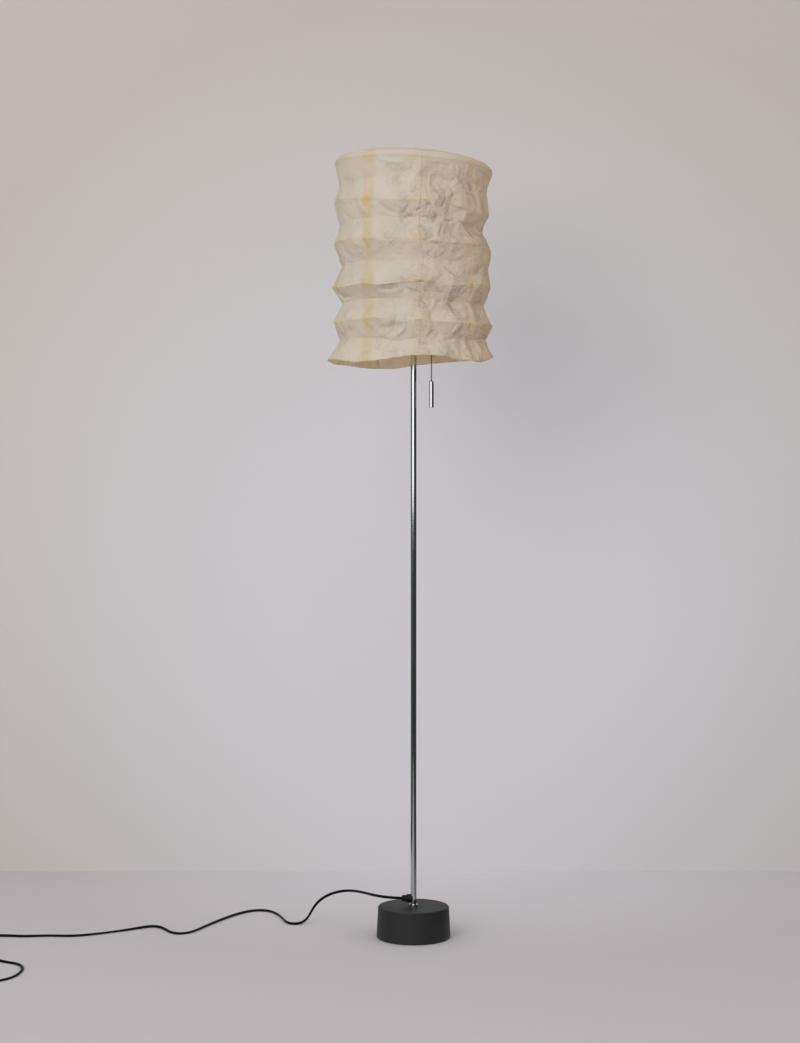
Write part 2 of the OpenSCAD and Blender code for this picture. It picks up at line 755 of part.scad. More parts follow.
module shade_paper() {
    n = paper_sides;
    m = len(paper_levels);
    points = [for (depth = [0, paper_t], i = [0:m - 1], k = [0:n - 1]) paper_point(i, 360 * k / n, depth)];
    inner = m * n;
    skin = [for (i = [0:m - 2], k = [0:n - 1]) let (a = i * n + k, b = i * n + (k + 1) % n)
        each [
            [a, b, b + n], [a, b + n, a + n],
            [inner + a, inner + b + n, inner + b], [inner + a, inner + a + n, inner + b + n]
        ]];
    edges = [for (k = [0:n - 1]) let (b = (k + 1) % n, low = (m - 1) * n)
        each [
            [k, inner + k, inner + b], [k, inner + b, b],
            [low + k, low + b, inner + low + b], [low + k, inner + low + b, inner + low + k]
        ]];
    color("#e9dfc6") polyhedron(points, concat(skin, edges), convexity = 12);
}

// ---- cord, coil and plug ----
module cord_run() {
    path = spline(run_points, 2);
    color("#1b1b1b") sweep(path, oval(cord_w, cord_t, 8), [-1, 0, 0], [-1, 0, 0]);
}

// The coil winds in, climbs a layer where it turns back, and winds out again
function coil_at(t) = let (
    half = coil_turns / 2,
    r = coil_in + pitch * abs(t - half),
    climb = min(max((t - half) * 2 + 0.5, 0), 1),
    a = -90 - 360 * t
) [coil_c[0] + r * cos(a), coil_c[1] + r * sin(a), coil_low + layer * climb];
coil_steps = round(coil_turns * loop_rings);
coil_path = [for (k = [0:coil_steps]) coil_at(k / loop_rings)];

// The room between two ovals whose centres lie dx apart sideways and dz apart in height
function oval_gap(dx, dz) = max([for (a = [0:5:180])
    abs(dx * cos(a) + dz * sin(a)) - norm([cord_w * cos(a), cord_t * sin(a)])]);
function coil_r(p) = norm([p[0] - coil_c[0], p[1] - coil_c[1]]);
least_gap = min([for (i = [0:coil_steps - loop_rings], j = [i + loop_rings:loop_rings:coil_steps])
    oval_gap(coil_r(coil_path[j]) - coil_r(coil_path[i]), coil_path[j][2] - coil_path[i][2])]);
echo(least_gap_in_coil = least_gap);

module cord_coil() {
    path = concat([coil_start], coil_path, [coil_end]);
    color("#1b1b1b") sweep(path, oval(cord_w, cord_t, 6), [-1, 0, 0], [0, 1, 0]);
}

module coil_tie() {
    half = coil_turns / 2;
    // where the turns cross the tie, on the coil's +X side
    passes = [for (t = [0.75:1:coil_turns]) coil_r(coil_at(t))];
    room = coil_gap;
    low = coil_low - cord_t / 2 - room;
    high = coil_low + layer + cord_t / 2 + room;
    left = min(passes) - cord_w / 2 - room;
    right = max(passes) + cord_w / 2 + room;
    color("#222222") translate([coil_c[0], coil_c[1] + tie_w / 2, 0]) rotate([90, 0, 0])
    linear_extrude(tie_w) difference() {
        translate([left - tie_t, low - tie_t]) square([right - left + 2 * tie_t, high - low + 2 * tie_t]);
        translate([left, low]) square([right - left, high - low]);
    }
}

module cord_tail() {
    color("#1b1b1b") sweep(spline(tail_points, 2), oval(cord_w, cord_t, 8), [0, 1, 0], [0, 1, 0]);
}

// The plug points along +Y from the end of the tail
module plug_sleeve() {
    color("#161616") translate(tail_end) rotate([-90, 0, 0]) {
        cylinder(h = sleeve_l, d1 = cord_w + 1.6, d2 = 10);
        for (k = [1:4]) translate([0, 0, 4.4 * k]) cylinder(h = 1.6, d = 8.6 + 0.7 * k);
    }
}

module plug_body() {
    y = sleeve_l;
    rear_w = 16;
    edge = 2;
    color("#161616") translate([tail_end[0], tail_end[1], 0]) intersection() {
        linear_extrude(plug_t) polygon([
            [-rear_w / 2, y], [rear_w / 2, y],
            [plug_w / 2, y + plug_l / 2], [plug_w / 2, y + plug_l - edge],
            [plug_w / 2 - edge, y + plug_l], [-plug_w / 2 + edge, y + plug_l],
            [-plug_w / 2, y + plug_l - edge], [-plug_w / 2, y + plug_l / 2]
        ]);
        translate([-plug_w, 0, 0]) rotate([90, 0, 90]) linear_extrude(2 * plug_w) polygon([
            [y, edge], [y + edge, 0], [y + plug_l, 0],
            [y + plug_l, plug_t], [y + edge, plug_t], [y, plug_t - edge]
        ]);
    }
}

// Each pin stands on the plug's front face, pointing along +Y
module at_pins() {
    for (side = [-1, 1])
        translate([tail_end[0] + side * pin_gap / 2, tail_end[1] + sleeve_l + plug_l, plug_z])
            rotate([-90, 0, 0]) children();
}

module plug_pins() {
    color("#c7c9cb") at_pins() {
        cylinder(h = plug_pin_l - pin_bare + 1, d = pin_core_d);
        translate([0, 0, plug_pin_l - pin_bare]) cylinder(h = pin_bare - pin_tip, d = plug_pin_d);
        translate([0, 0, plug_pin_l - pin_tip]) cylinder(h = pin_tip, d1 = plug_pin_d, d2 = plug_pin_d - 1.6);
    }
}

module pin_sleeves() {
    color("#161616") at_pins() tube(plug_pin_l - pin_bare, pin_sleeve_d, pin_core_d + 2 * press);
}

foot();
felt_pad();
foot_stud();
foot_washer();
foot_nut();
foot_collar();
pole();
pole_insert();
gland_body();
gland_nut();
gland_seal();
inner_flex();
head_collar();
head_screw();
head_nipple();
nipple_nut();
holder_cup();
switch_block();
terminal_screws();
holder_shell();
screw_shell();
centre_contact();
switch_housing();
pull_stem();
return_spring();
contact_lever();
lever_pin();
chain_upper();
chain_connector();
chain_lower();
pull_bob();
bulb_glass();
bulb_cap();
carrier_ring();
ring_nut();
carrier_arms();
top_ring();
shade_paper();
cord_run();
cord_coil();
coil_tie();
cord_tail();
plug_sleeve();
plug_body();
plug_pins();
pin_sleeves();
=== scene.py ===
import json
import math
import random

import bmesh
import bpy
import numpy as np
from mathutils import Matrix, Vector
from mathutils.bvhtree import BVHTree
from mathutils.geometry import delaunay_2d_cdt


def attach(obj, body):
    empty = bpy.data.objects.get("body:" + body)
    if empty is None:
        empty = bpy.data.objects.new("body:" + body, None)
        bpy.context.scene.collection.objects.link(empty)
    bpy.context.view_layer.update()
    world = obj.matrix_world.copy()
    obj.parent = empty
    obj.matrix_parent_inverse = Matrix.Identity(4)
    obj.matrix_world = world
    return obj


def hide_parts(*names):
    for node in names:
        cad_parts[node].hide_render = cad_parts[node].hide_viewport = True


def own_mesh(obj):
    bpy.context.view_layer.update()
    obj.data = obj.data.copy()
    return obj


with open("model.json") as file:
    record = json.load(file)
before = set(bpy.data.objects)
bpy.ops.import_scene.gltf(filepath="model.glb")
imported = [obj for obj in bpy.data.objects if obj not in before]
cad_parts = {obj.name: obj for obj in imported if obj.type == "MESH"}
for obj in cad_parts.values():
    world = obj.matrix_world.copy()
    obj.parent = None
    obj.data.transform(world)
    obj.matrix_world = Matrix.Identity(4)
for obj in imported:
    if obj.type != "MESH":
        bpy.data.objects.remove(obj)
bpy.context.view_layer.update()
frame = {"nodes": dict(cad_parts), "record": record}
cadNodes = frame["nodes"]
print("frame loaded,", len(cadNodes), "CAD nodes")


def hexColour(text):
    channels = [int(text[at:at + 2], 16) / 255 for at in (1, 3, 5)]  # sRGB to linear
    return [c / 12.92 if c <= 0.04045 else ((c + 0.055) / 1.055) ** 2.4 for c in channels] + [1]


def addNode(tree, kind, inputs=None, **settings):
    node = tree.nodes.new("ShaderNode" + kind)
    for name, value in settings.items():
        setattr(node, name, value)
    for name, value in (inputs or {}).items():
        if isinstance(value, bpy.types.NodeSocket):
            tree.links.new(value, node.inputs[name])
        else:
            node.inputs[name].default_value = value
    return node


def newMaterial(name):
    material = bpy.data.materials.new(name)
    material.use_nodes = True
    material.node_tree.nodes.clear()
    return material, material.node_tree


def linkObject(name, data):
    thing = bpy.data.objects.new(name, data)
    bpy.context.scene.collection.objects.link(thing)
    return thing


cameraValues = {
    "place": (-0.0274, -4.09, 0.95),
    "lens": 70,
    "lookDown": 1.495,  # degrees below the horizon
}
camera = linkObject("camera", bpy.data.cameras.new("camera"))
camera.data.lens = cameraValues["lens"]
camera.location = cameraValues["place"]
camera.rotation_euler = (math.radians(90 - cameraValues["lookDown"]), 0, 0)
bpy.context.scene.camera = camera
print("camera placed")


# Most finishes differ only in these values. Sizes are real, in millimetres: how wide the cloudy patches
# and the fine grain are, and how high the grain stands.
def surface(name, colour, shade, roughness, spread=0.08, metallic=0.0, mottle=30, grain=1, relief=0.05,
            more=None):
    material, tree = newMaterial(name)
    place = addNode(tree, "TexCoord").outputs["Object"]
    slow = addNode(tree, "TexNoise", {
        "Vector": place, "Scale": 1000 / mottle, "Detail": 4.0, "Roughness": 0.6,
    })
    fine = addNode(tree, "TexNoise", {"Vector": place, "Scale": 1000 / grain, "Detail": 2.0})
    tone = addNode(tree, "Mix", {
        0: slow.outputs[0], 6: hexColour(colour), 7: hexColour(shade),
    }, data_type="RGBA")
    rough = addNode(tree, "MapRange", {0: slow.outputs[0], 3: roughness - spread, 4: roughness + spread})
    bump = addNode(tree, "Bump", {"Height": fine.outputs[0], "Distance": relief / 1000, "Strength": 1.0})
    shader = addNode(tree, "BsdfPrincipled", {
        "Base Color": tone.outputs[2],
        "Roughness": rough.outputs[0],
        "Normal": bump.outputs[0],
        "Metallic": metallic,
        **(more or {}),
    })
    addNode(tree, "OutputMaterial", {"Surface": shader.outputs[0]})
    return material


finishes = {
    # matt stoving paint on cast iron: a dark, dry grey with a faint sandy grain
    "painted_iron": surface("mattPaintOnCastIron", "#29282a", "#242325", 0.5, grain=0.9, relief=0.12,
                            more={"Specular IOR Level": 0.35}),
    # pressed wool felt: dull, fibrous, almost no gloss
    "felt": surface("pressedFelt", "#2b2a2a", "#1f1e1e", 0.95, spread=0.03, grain=0.6, relief=0.3),
    # zinc plate: a pale satin metal with cloudy patches
    "zinc_steel": surface("zincPlatedSteel", "#a9abae", "#8e9195", 0.36, metallic=1.0, mottle=8, grain=0.4),
    # polished chrome plate: a near mirror, a little softened by fine scratches
    "chrome_steel": surface("polishedChromePlate", "#d9dadb", "#cfd1d3", 0.1, spread=0.025, metallic=1.0,
                            mottle=50, grain=0.7, relief=0.003),
    # stamped and turned brass: warm, slightly tarnished
    "brass": surface("turnedBrass", "#c9a35a", "#a8823f", 0.3, metallic=1.0, mottle=6, grain=0.5, relief=0.01),
    # moulded nylon: black, with the soft shine of a moulded part
    "black_nylon": surface("mouldedNylon", "#0e0e0e", "#141414", 0.42, grain=0.6, relief=0.03,
                           more={"Specular IOR Level": 0.3}),
    # moulded rubber: black and dull, with no shine of its own
    "seal_rubber": surface("mouldedRubber", "#171717", "#101010", 0.75, grain=0.5),
    # bakelite: a dark brown-black, hard and glossy with faint flow marks
    "bakelite": surface("mouldedBakelite", "#2a221d", "#1f1814", 0.28, mottle=12, grain=1.5, relief=0.02),
    # steatite: a fired, unglazed insulator, chalky and pale
    "steatite": surface("firedSteatite", "#dfd8c8", "#cfc7b4", 0.7, grain=0.5),
    # nickel plated wire: a slightly warm grey metal, bright along its length
    "frame_wire": surface("nickelPlatedWire", "#b4b2ad", "#99968f", 0.3, metallic=1.0, mottle=10, grain=0.6),
    # rolled aluminium: pale and softly bright, as on a lamp's cap
    "cap_aluminium": surface("rolledAluminium", "#c9cbcd", "#b7babd", 0.32, metallic=1.0, mottle=6, grain=0.4),
    # opal glass: white coated inside, with a clear gloss over it
    "opal_glass": surface("opalGlass", "#efece2", "#e9e5d8", 0.16, spread=0.03, grain=2, relief=0.005,
                          more={"Coat Weight": 0.4, "Coat Roughness": 0.05}),
    # moulded soft PVC: black, with a low, even shine
    "plug_pvc": surface("mouldedSoftPvc", "#181818", "#1f1f1f", 0.5, grain=0.5, relief=0.04),
    # extruded flex: black, slightly waxy
    "black_flex": surface("extrudedPvcFlex", "#0a0a0a", "#0e0e0f", 0.5, mottle=20, grain=0.8, relief=0.03,
                          more={"Specular IOR Level": 0.12}),
    # a bead chain painted a dark grey: painted shade, standing in for the dark room that its small beads
    # mirror
    "bead_chain": surface("beadChainPaintedDark", "#5f5b55", "#4b4843", 0.34, metallic=1.0, mottle=4, grain=0.6,
                          relief=0.01),
}
for subpart in frame["record"]["subparts"]:
    finish = "bead_chain" if subpart["node"].startswith("chain_") else subpart["material_slot"]
    if finish in finishes:
        for held in cadNodes[subpart["node"]].material_slots:
            held.material = finishes[finish]
print("finishes made,", len(finishes))

# The paper shade, in millimetres and degrees from the front. Its levels are the CAD shade's own: three for
# the collar turned in over the top ring, then the rim, the folds in and out in turn, and the hem.
shadeValues = {
    "rimHeight": 1550,
    "rimRadius": 158.3,
    "length": 381,
    "foldDepth": 15,
    "hemFlare": 8,
    # for the rim, each fold and the hem: how far it has slipped down, stands out, is shifted to the right,
    # and drops toward the right and the back
    "sag": (0, 4, 5, 6, 5, 9, 9, 6, 5, -1, 3),
    "bulge": (0, 2, -3, -1, 0, 4, 2, -2, 2, 3, 0),
    "shift": (0, 0, -3, -4, -4, 4, -4, -2, -2, -2, -9),
    "drop": (9.6, 7, 13, 10, 7, 4, 1, 4, 5, -1, -4),
    "lift": (5.4, 6, 2, 7, 1, 6, -3, 0, -3, -7, -1),
    "collarRise": (18, 12, 4.5),
    "collarIn": (28, 8.5, 1),
    "hemWaves": ((2, 4.4, 47), (3, 3.8, -28), (4, 3.2, 69), (5, 2.1, 107)),  # how many, how high, and where
    "thickness": 0.5,
    "jointAngle": 5.4,  # where the sheet's two edges are glued
    "lapWidth": 13,
    "lapRise": 0.4,
    "lapSlope": 2.5,  # the lap's edges rise over this width
    # the sheet's grid
    "columns": 316,
    "frontColumns": 0.74,  # share of the columns in the front half, where the creases are finest
    "collarRows": (6, 4, 2),
    "foldRows": 14,
    # broken fold lines and ragged cut edges
    "foldCorners": 23,  # in each fold line, round the shade
    "foldRise": 4.6,
    "foldOut": 2.8,
    "cornerDrift": 0.35,  # share of their spacing by which such corners are off
    "edgeFolds": 0.25,  # the rim's and the hem's own lines are broken only this much
    "frayCorners": 110,
    "fray": 0.9,
    "rimLeast": -0.2,  # the top ring is close behind the rim, so that no crease goes further in there
    "rimBand": 0.25,  # in levels
    # the paper is calmer round one place on the front's left, and where its outline is seen from the front
    "mostCrushed": 1.15,
    "rimCrushed": 0.12,  # at the rim and the collar, growing over this many levels below it
    "rimCrushedTo": 0.6,
    "calmAngle": -48,
    "calmSpread": 42,
    "calmShare": 0.7,
    "outlineSpread": 14,
    "outlineFolds": 0.65,
    "outlineCalm": 0.55,
    "seed": 11,
    "crispAngle": 11,  # a sharper bend than this is a crease
    # flat facets of crushed paper, each net from corners this far apart and this high
    "nets": [
        {"spacing": 34, "height": 5.6, "seed": 3},
        {"spacing": 16, "height": 1.5, "seed": 8},
    ],
    "netDrift": 0.38,  # share of their spacing by which a net's corners are off
    "netSpread": 0.6,  # their heights' spread, and the most, as shares of the net's height
    "netMost": 1.2,
    # old paper has yellowed in upright bands: where, how wide and how strongly
    "agedBands": [
        (-34, 10, 1.1), (6, 14, 0.45), (47, 10, 0.5), (87, 9, 0.8), (127, 11, 0.5), (166, 9, 0.85),
        (-153, 12, 0.6), (-113, 9, 0.8), (-74, 9, 0.35),
    ],
    "sideShadeAngles": (5, 85, 130, 190),  # painted warm shade on the right side, turned from the window light: from, full, full, to
    "ridgeWide": 0.5,  # in levels, to each side of an outward fold
    # Creases that the photograph shows: how far each stands out, how wide it is to the left and right of
    # its line, and the line itself as degrees from the front and levels below the rim
    "creaseGain": 1.9,
    "creaseTaper": 0.3,  # share of a crease's length at each end over which it rises from the least
    "creaseLeast": 0.15,
    "creases": [
        (1.8, 8, 9, [(-28, 0.12), (-18, 0.35), (-10, 0.35), (-6, 0.12)]),
        (-2.0, 10, 13, [(-14, 0.48), (-12, 1.08), (-2, 1.78)]),
        (-1.2, 6, 8, [(0, 0.1), (-2, 0.8), (4, 0.92)]),
        (-2.4, 8, 9, [(0, 2.1), (-8, 2.8), (-7, 3.12), (-1, 3.55)]),
        (1.7, 5, 12, [(14, 0.6), (12, 1.08), (12, 1.42), (17, 1.68)]),
        (5.0, 9, 34, [(17, 1.9), (15, 2.43), (22, 2.88), (19, 3.35), (13, 3.75)]),
        (3.4, 13, 24, [(45, 2.1), (38, 2.98), (53, 3.8)]),
        (1.6, 5, 6, [(25, 0.9), (30, 1.18), (35, 0.9), (40, 1.23), (46, 1.35)]),
        (1.8, 7, 12, [(46, 1.08), (50, 1.48), (54, 1.92)]),
        (0.9, 4, 5, [(20, 0.08), (21, 0.65)]),
        (-0.9, 4, 5, [(24, 0.08), (27, 0.7)]),
        (1.2, 5, 6, [(28, 0.1), (30, 0.7)]),
        (-1.1, 4, 6, [(34, 0.08), (38, 0.7)]),
        (1.1, 4, 5, [(42, 0.05), (42, 0.6)]),
        (1.1, 4, 6, [(50, 0.1), (53, 0.7)]),
        (-1.2, 8, 9, [(-73, 0.88), (-46, 0.98)]),
        (1.5, 8, 9, [(-43, 2.12), (-42, 2.9)]),
        (-1.6, 8, 9, [(-28, 2.12), (-19, 2.7), (-10, 2.8)]),
        (1.8, 8, 10, [(-80, 4.6), (-84, 5.03)]),
        (2.6, 9, 12, [(-20, 5.62), (-9, 5.72), (0, 5.98)]),
        (-2.8, 11, 9, [(-28, 5.8), (-24, 6.34), (-17, 6.36), (-2, 5.98)]),
        (-2.2, 8, 10, [(-80, 6.0), (-71, 6.75), (-52, 6.65)]),
        (1.5, 6, 8, [(13, 6.62), (18, 6.9), (12, 7.68)]),
        (2.6, 5, 9, [(23, 6.2), (24, 7.05), (26, 7.7)]),
        (2.4, 9, 14, [(38, 7.0), (43, 7.9)]),
        (-2.8, 10, 9, [(-30, 7.98), (-24, 8.48), (-18, 8.38), (-1, 7.95)]),
        (-1.5, 5, 6, [(-23, 8.95), (-15, 8.58), (-10, 8.3)]),
        (1.4, 5, 5, [(-17, 8.97), (-9, 8.58), (-5, 8.2)]),
        (2.0, 5, 12, [(12, 8.1), (10, 8.9)]),
        (1.8, 7, 10, [(34, 8.1), (28, 8.9)]),
        (4.2, 6, 12, [(42, 9.05), (45, 10)]),
        (-2.6, 5, 6, [(49, 9.1), (51, 10)]),
        (4.2, 5, 9, [(56, 9.1), (57, 10)]),
        (3.4, 5, 7, [(71, 9.1), (72, 10)]),
        (-2.6, 6, 7, [(65, 9.1), (64, 10)]),
        (1.6, 5, 7, [(-26, 9.6), (-24, 9.1)]),
        (2.2, 7, 9, [(20, 9.1), (24, 9.5), (32, 10)]),
        (0.9, 2.6, 2.6, [(43.5, 1.05), (54, 1.9)]),
        (0.8, 2.6, 2.6, [(40, 3.05), (52.5, 3.85)]),
        (1.0, 4, 6, [(12, 0.62), (11.5, 1.5), (18, 1.62), (25, 1.48)]),
        (1.0, 3, 4, [(25, 1.25), (32, 0.65), (35, 1.2), (44, 1.0)]),
        (-2.4, 8, 9, [(26, 9.05), (31, 9.5), (38, 10)]),
    ],
}


def shadeLevels():
    # each level's height, radius, shift, drop and lift
    sizes = shadeValues
    folds = len(sizes["sag"]) - 1
    found = []
    for rise, inward in zip(sizes["collarRise"], sizes["collarIn"]):
        height, radius = sizes["rimHeight"] + rise, sizes["rimRadius"] - inward
        found.append((height, radius, sizes["shift"][0], sizes["drop"][0], sizes["lift"][0]))
    for fold in range(folds + 1):
        inward = sizes["foldDepth"] * (fold % 2)
        radius = sizes["rimRadius"] - inward + sizes["bulge"][fold] + sizes["hemFlare"] * (fold == folds)
        height = sizes["rimHeight"] - sizes["length"] * fold / folds - sizes["sag"][fold]
        found.append((height, radius, sizes["shift"][fold], sizes["drop"][fold], sizes["lift"][fold]))
    return np.array(found, float)


def sheetRows():
    # each row's place among the levels, its own five values, and how far down the paper it is
    levels = shadeLevels()
    rowsIn = list(shadeValues["collarRows"])
    rowsIn += [shadeValues["foldRows"]] * (len(levels) - 1 - len(rowsIn))
    place = [level + row / count for level, count in enumerate(rowsIn) for row in range(count)]
    place = np.array(place + [len(rowsIn)])
    profile = np.stack([np.interp(place, range(len(levels)), values) for values in levels.T], 1)
    steps = np.linalg.norm(np.diff(profile[:, :2], axis=0), axis=1)
    return place, profile, np.concatenate([[0], np.cumsum(steps)])


def flatSheet(rows):
    # a flat grid, and for each of its vertices the share of the way round and the row
    bm = bmesh.new()
    bmesh.ops.create_grid(bm, x_segments=shadeValues["columns"], y_segments=rows - 1, size=0.5)
    flat = np.array([vertex.co for vertex in bm.verts])
    front = shadeValues["frontColumns"] / 2
    share = np.interp(flat[:, 0] + 0.5, (0, front, 1 - front, 1), (0, 0.25, 0.75, 1))
    return bm, share, np.round((0.5 - flat[:, 1]) * (rows - 1)).astype(int)


def zigzag(share, corners, size, chance):
    # straight runs between unevenly spaced corners, the same at share 0 and 1
    drift = shadeValues["cornerDrift"]
    inner = [(corner + chance.uniform(-drift, drift)) / corners for corner in range(1, corners)]
    values = [chance.uniform(-size, size) for _ in range(corners)]
    return np.interp(share, np.array([0] + inner + [1]), values + values[:1])


def brokenFolds(share, level, outline, chance):
    # how far each vertex near a fold line rises and stands out
    sizes = shadeValues
    collar = len(sizes["collarRows"])
    hemLevel = collar + len(sizes["sag"]) - 1
    rise, out = np.zeros(len(share)), np.zeros(len(share))
    for fold in range(collar, hemLevel + 1):
        near = np.clip(1 - np.abs(level - fold), 0, 1) * (1 - sizes["outlineFolds"] * outline)
        if fold in (collar, hemLevel):
            near *= sizes["edgeFolds"]
        rise += near * zigzag(share, sizes["foldCorners"], sizes["foldRise"], chance)
        out += near * zigzag(share, sizes["foldCorners"], sizes["foldOut"], chance)
    return rise, out


def netHeights(across, down, width, length, net):
    # a net of triangles between uneven corners, laid over the whole sheet
    chance = random.Random(net["seed"])
    drift, spread, most = shadeValues["netDrift"], shadeValues["netSpread"], shadeValues["netMost"]
    columns = round(width / net["spacing"])
    rows = round(length / net["spacing"] / 0.87) + 2  # nearly equal-sided triangles, and a row past each edge
    stepX, stepY = width / columns, length / (rows - 2)
    corners = []
    for row in range(-1, rows + 1):
        ring = [(chance.uniform(-drift, drift), chance.uniform(-drift, drift), chance.gauss(0, spread))
                for _ in range(columns)]
        for column in range(-2, columns + 3):
            x, y, z = ring[column % columns]
            z = max(-most, min(most, z)) * net["height"]
            corners.append(Vector(((column + x + 0.5 * (row % 2)) * stepX, (row + y) * stepY, z)))
    flat, _, faces, origins, _, _ = delaunay_2d_cdt([corner.to_2d() for corner in corners], [], [], 0, 1e-5)
    points = [(point.x, point.y, corners[origin[0]].z) for point, origin in zip(flat, origins)]
    tree = BVHTree.FromPolygons(points, faces)
    above, downward = 50, Vector((0, 0, -1))
    hits = [tree.ray_cast(Vector((x, y, above)), downward)[0] for x, y in zip(across.tolist(), down.tolist())]
    return np.array([hit.z if hit else 0 for hit in hits])


def creaseHeights(across, down, standing, left, right, line):
    # a ridge along the line, sloping down to both sides and tapering at its ends
    steps = [math.dist(start, end) for start, end in zip(line, line[1:])]
    best = np.zeros(len(across))
    before = 0
    for start, end, step in zip(line, line[1:], steps):
        run = np.array(end) - start
        gone = ((across - start[0]) * run[0] + (down - start[1]) * run[1]) / step ** 2
        gone = np.clip(gone, 0, 1)
        awayX, awayY = across - start[0] - gone * run[0], down - start[1] - gone * run[1]
        side = np.where(run[0] * awayY - run[1] * awayX > 0, left, right)
        along = (before + gone * step) / sum(steps)
        taper = np.minimum(along, 1 - along) / shadeValues["creaseTaper"]
        taper = np.clip(taper, shadeValues["creaseLeast"], 1)
        best = np.maximum(best, taper * (1 - np.hypot(awayX, awayY) / side))
        before += step
    return standing * best


def sheetMarks(sheet, radius, crushed):
    # what the paper's material reads at each vertex
    sizes = shadeValues
    inArc = sheet["fromFront"] * radius / sizes["rimRadius"]  # so that a band stays upright over the folds
    aged = 0
    for middle, wide, strength in sizes["agedBands"]:
        away = (inArc - middle + 180) % 360 - 180
        aged = aged + strength * np.exp(-(away / (wide / 2)) ** 4)
    outward = sheet["level"] - len(sizes["collarRows"]) + 1  # odd at each outward fold
    return {
        "aged": aged,
        # painted warm shade, strongest on the right side, which is turned from the window light
        "paintedSideShade": np.interp(sheet["fromFront"], sizes["sideShadeAngles"], (0, 1, 1, 0)),
        "ridge": np.clip(1 - np.abs(outward % 2 - 1) / sizes["ridgeWide"], 0, 1),
        "crushed": crushed,
    }


def crushSheet(sheet, place, rowDown):
    # how far each vertex rises and stands out, and how crushed the paper is there
    sizes = shadeValues
    chance = random.Random(sizes["seed"])
    share, across, down, level = sheet["share"], sheet["across"], sheet["down"], sheet["level"]
    fromFront, turn = sheet["fromFront"], sheet["turn"]
    collar = len(sizes["collarRows"])
    hem = np.clip(level - (collar + len(sizes["sag"]) - 2), 0, 1)
    outline = np.exp(-((np.abs(fromFront) - 90) / sizes["outlineSpread"]) ** 2)
    rise, out = brokenFolds(share, level, outline, chance)
    calm = np.exp(-((fromFront - sizes["calmAngle"]) / sizes["calmSpread"]) ** 2)
    crushed = sizes["mostCrushed"] - sizes["calmShare"] * calm
    crushed *= np.clip((level - collar) / sizes["rimCrushedTo"], sizes["rimCrushed"], 1)
    crushed *= 1 - sizes["outlineCalm"] * outline
    width = 2 * math.pi * sizes["rimRadius"]
    for net in sizes["nets"]:
        out += crushed * netHeights(across, down, width, rowDown[-1], net)
    arc = np.radians(fromFront) * sizes["rimRadius"]
    for standing, left, right, line in sizes["creases"]:
        points = [(math.radians(angle) * sizes["rimRadius"], np.interp(below + collar, place, rowDown))
                  for angle, below in line]
        out += sizes["creaseGain"] * creaseHeights(arc, down, standing, left, right, points)
    fromEdge = np.minimum(across, sizes["lapWidth"] - across)
    out += sizes["lapRise"] * np.clip(fromEdge / sizes["lapSlope"], 0, 1)
    cutEdges = hem ** 6 + np.clip(1 - level, 0, 1)
    rise += cutEdges * zigzag(share, sizes["frayCorners"], sizes["fray"], chance)
    for count, high, start in sizes["hemWaves"]:
        rise += hem ** 2 * high * np.sin(count * turn + math.radians(start))
    atRim = np.abs(level - collar) < sizes["rimBand"]
    return rise, np.where(atRim, np.maximum(out, sizes["rimLeast"]), out), crushed


def makeShade():
    # the sheet starts flat, and is then creased, rolled up and glued
    sizes = shadeValues
    place, profile, rowDown = sheetRows()
    bm, share, row = flatSheet(len(place))
    turn = -math.pi / 2 + math.radians(sizes["jointAngle"]) + 2 * math.pi * share
    sheet = {
        "share": share,
        "across": share * (2 * math.pi * sizes["rimRadius"]),
        "down": rowDown[row],
        "level": place[row],
        "turn": turn,
        "fromFront": (np.degrees(turn) + 270) % 360 - 180,
    }
    flatMap = bm.loops.layers.uv.new("sheet")  # metres across and down the flat sheet
    for face in bm.faces:
        for corner in face.loops:
            at = corner.vert.index
            corner[flatMap].uv = (sheet["across"][at] / 1000, sheet["down"][at] / 1000)

    rise, out, crushed = crushSheet(sheet, place, rowDown)
    height, radius, shift, drop, lift = profile[row].T
    tilt = (drop * np.cos(turn) + lift * np.sin(turn)) * radius / sizes["rimRadius"]
    x = shift + (radius + out) * np.cos(turn)
    y = (radius + out) * np.sin(turn)
    z = height + rise - tilt
    for vertex, point in zip(bm.verts, np.stack([x, y, z], 1) / 1000):
        vertex.co = point
    for name, values in sheetMarks(sheet, radius, crushed).items():
        layer = bm.verts.layers.float.new(name)
        for vertex, value in zip(bm.verts, values.tolist()):
            vertex[layer] = value
    bmesh.ops.remove_doubles(bm, verts=bm.verts, dist=1e-5)
    bmesh.ops.recalc_face_normals(bm, faces=bm.faces)
    mesh = bpy.data.meshes.new("paperShade")
    bm.to_mesh(mesh)
    bm.free()
    mesh.shade_smooth()
    mesh.set_sharp_from_angle(angle=math.radians(sizes["crispAngle"]))
    shade = linkObject("paperShade", mesh)
    wall = shade.modifiers.new("wall", "SOLIDIFY")
    wall.thickness = sizes["thickness"] / 1000
    wall.offset = -1
    wall.material_offset = 1
    wall.material_offset_rim = 0
    return shade
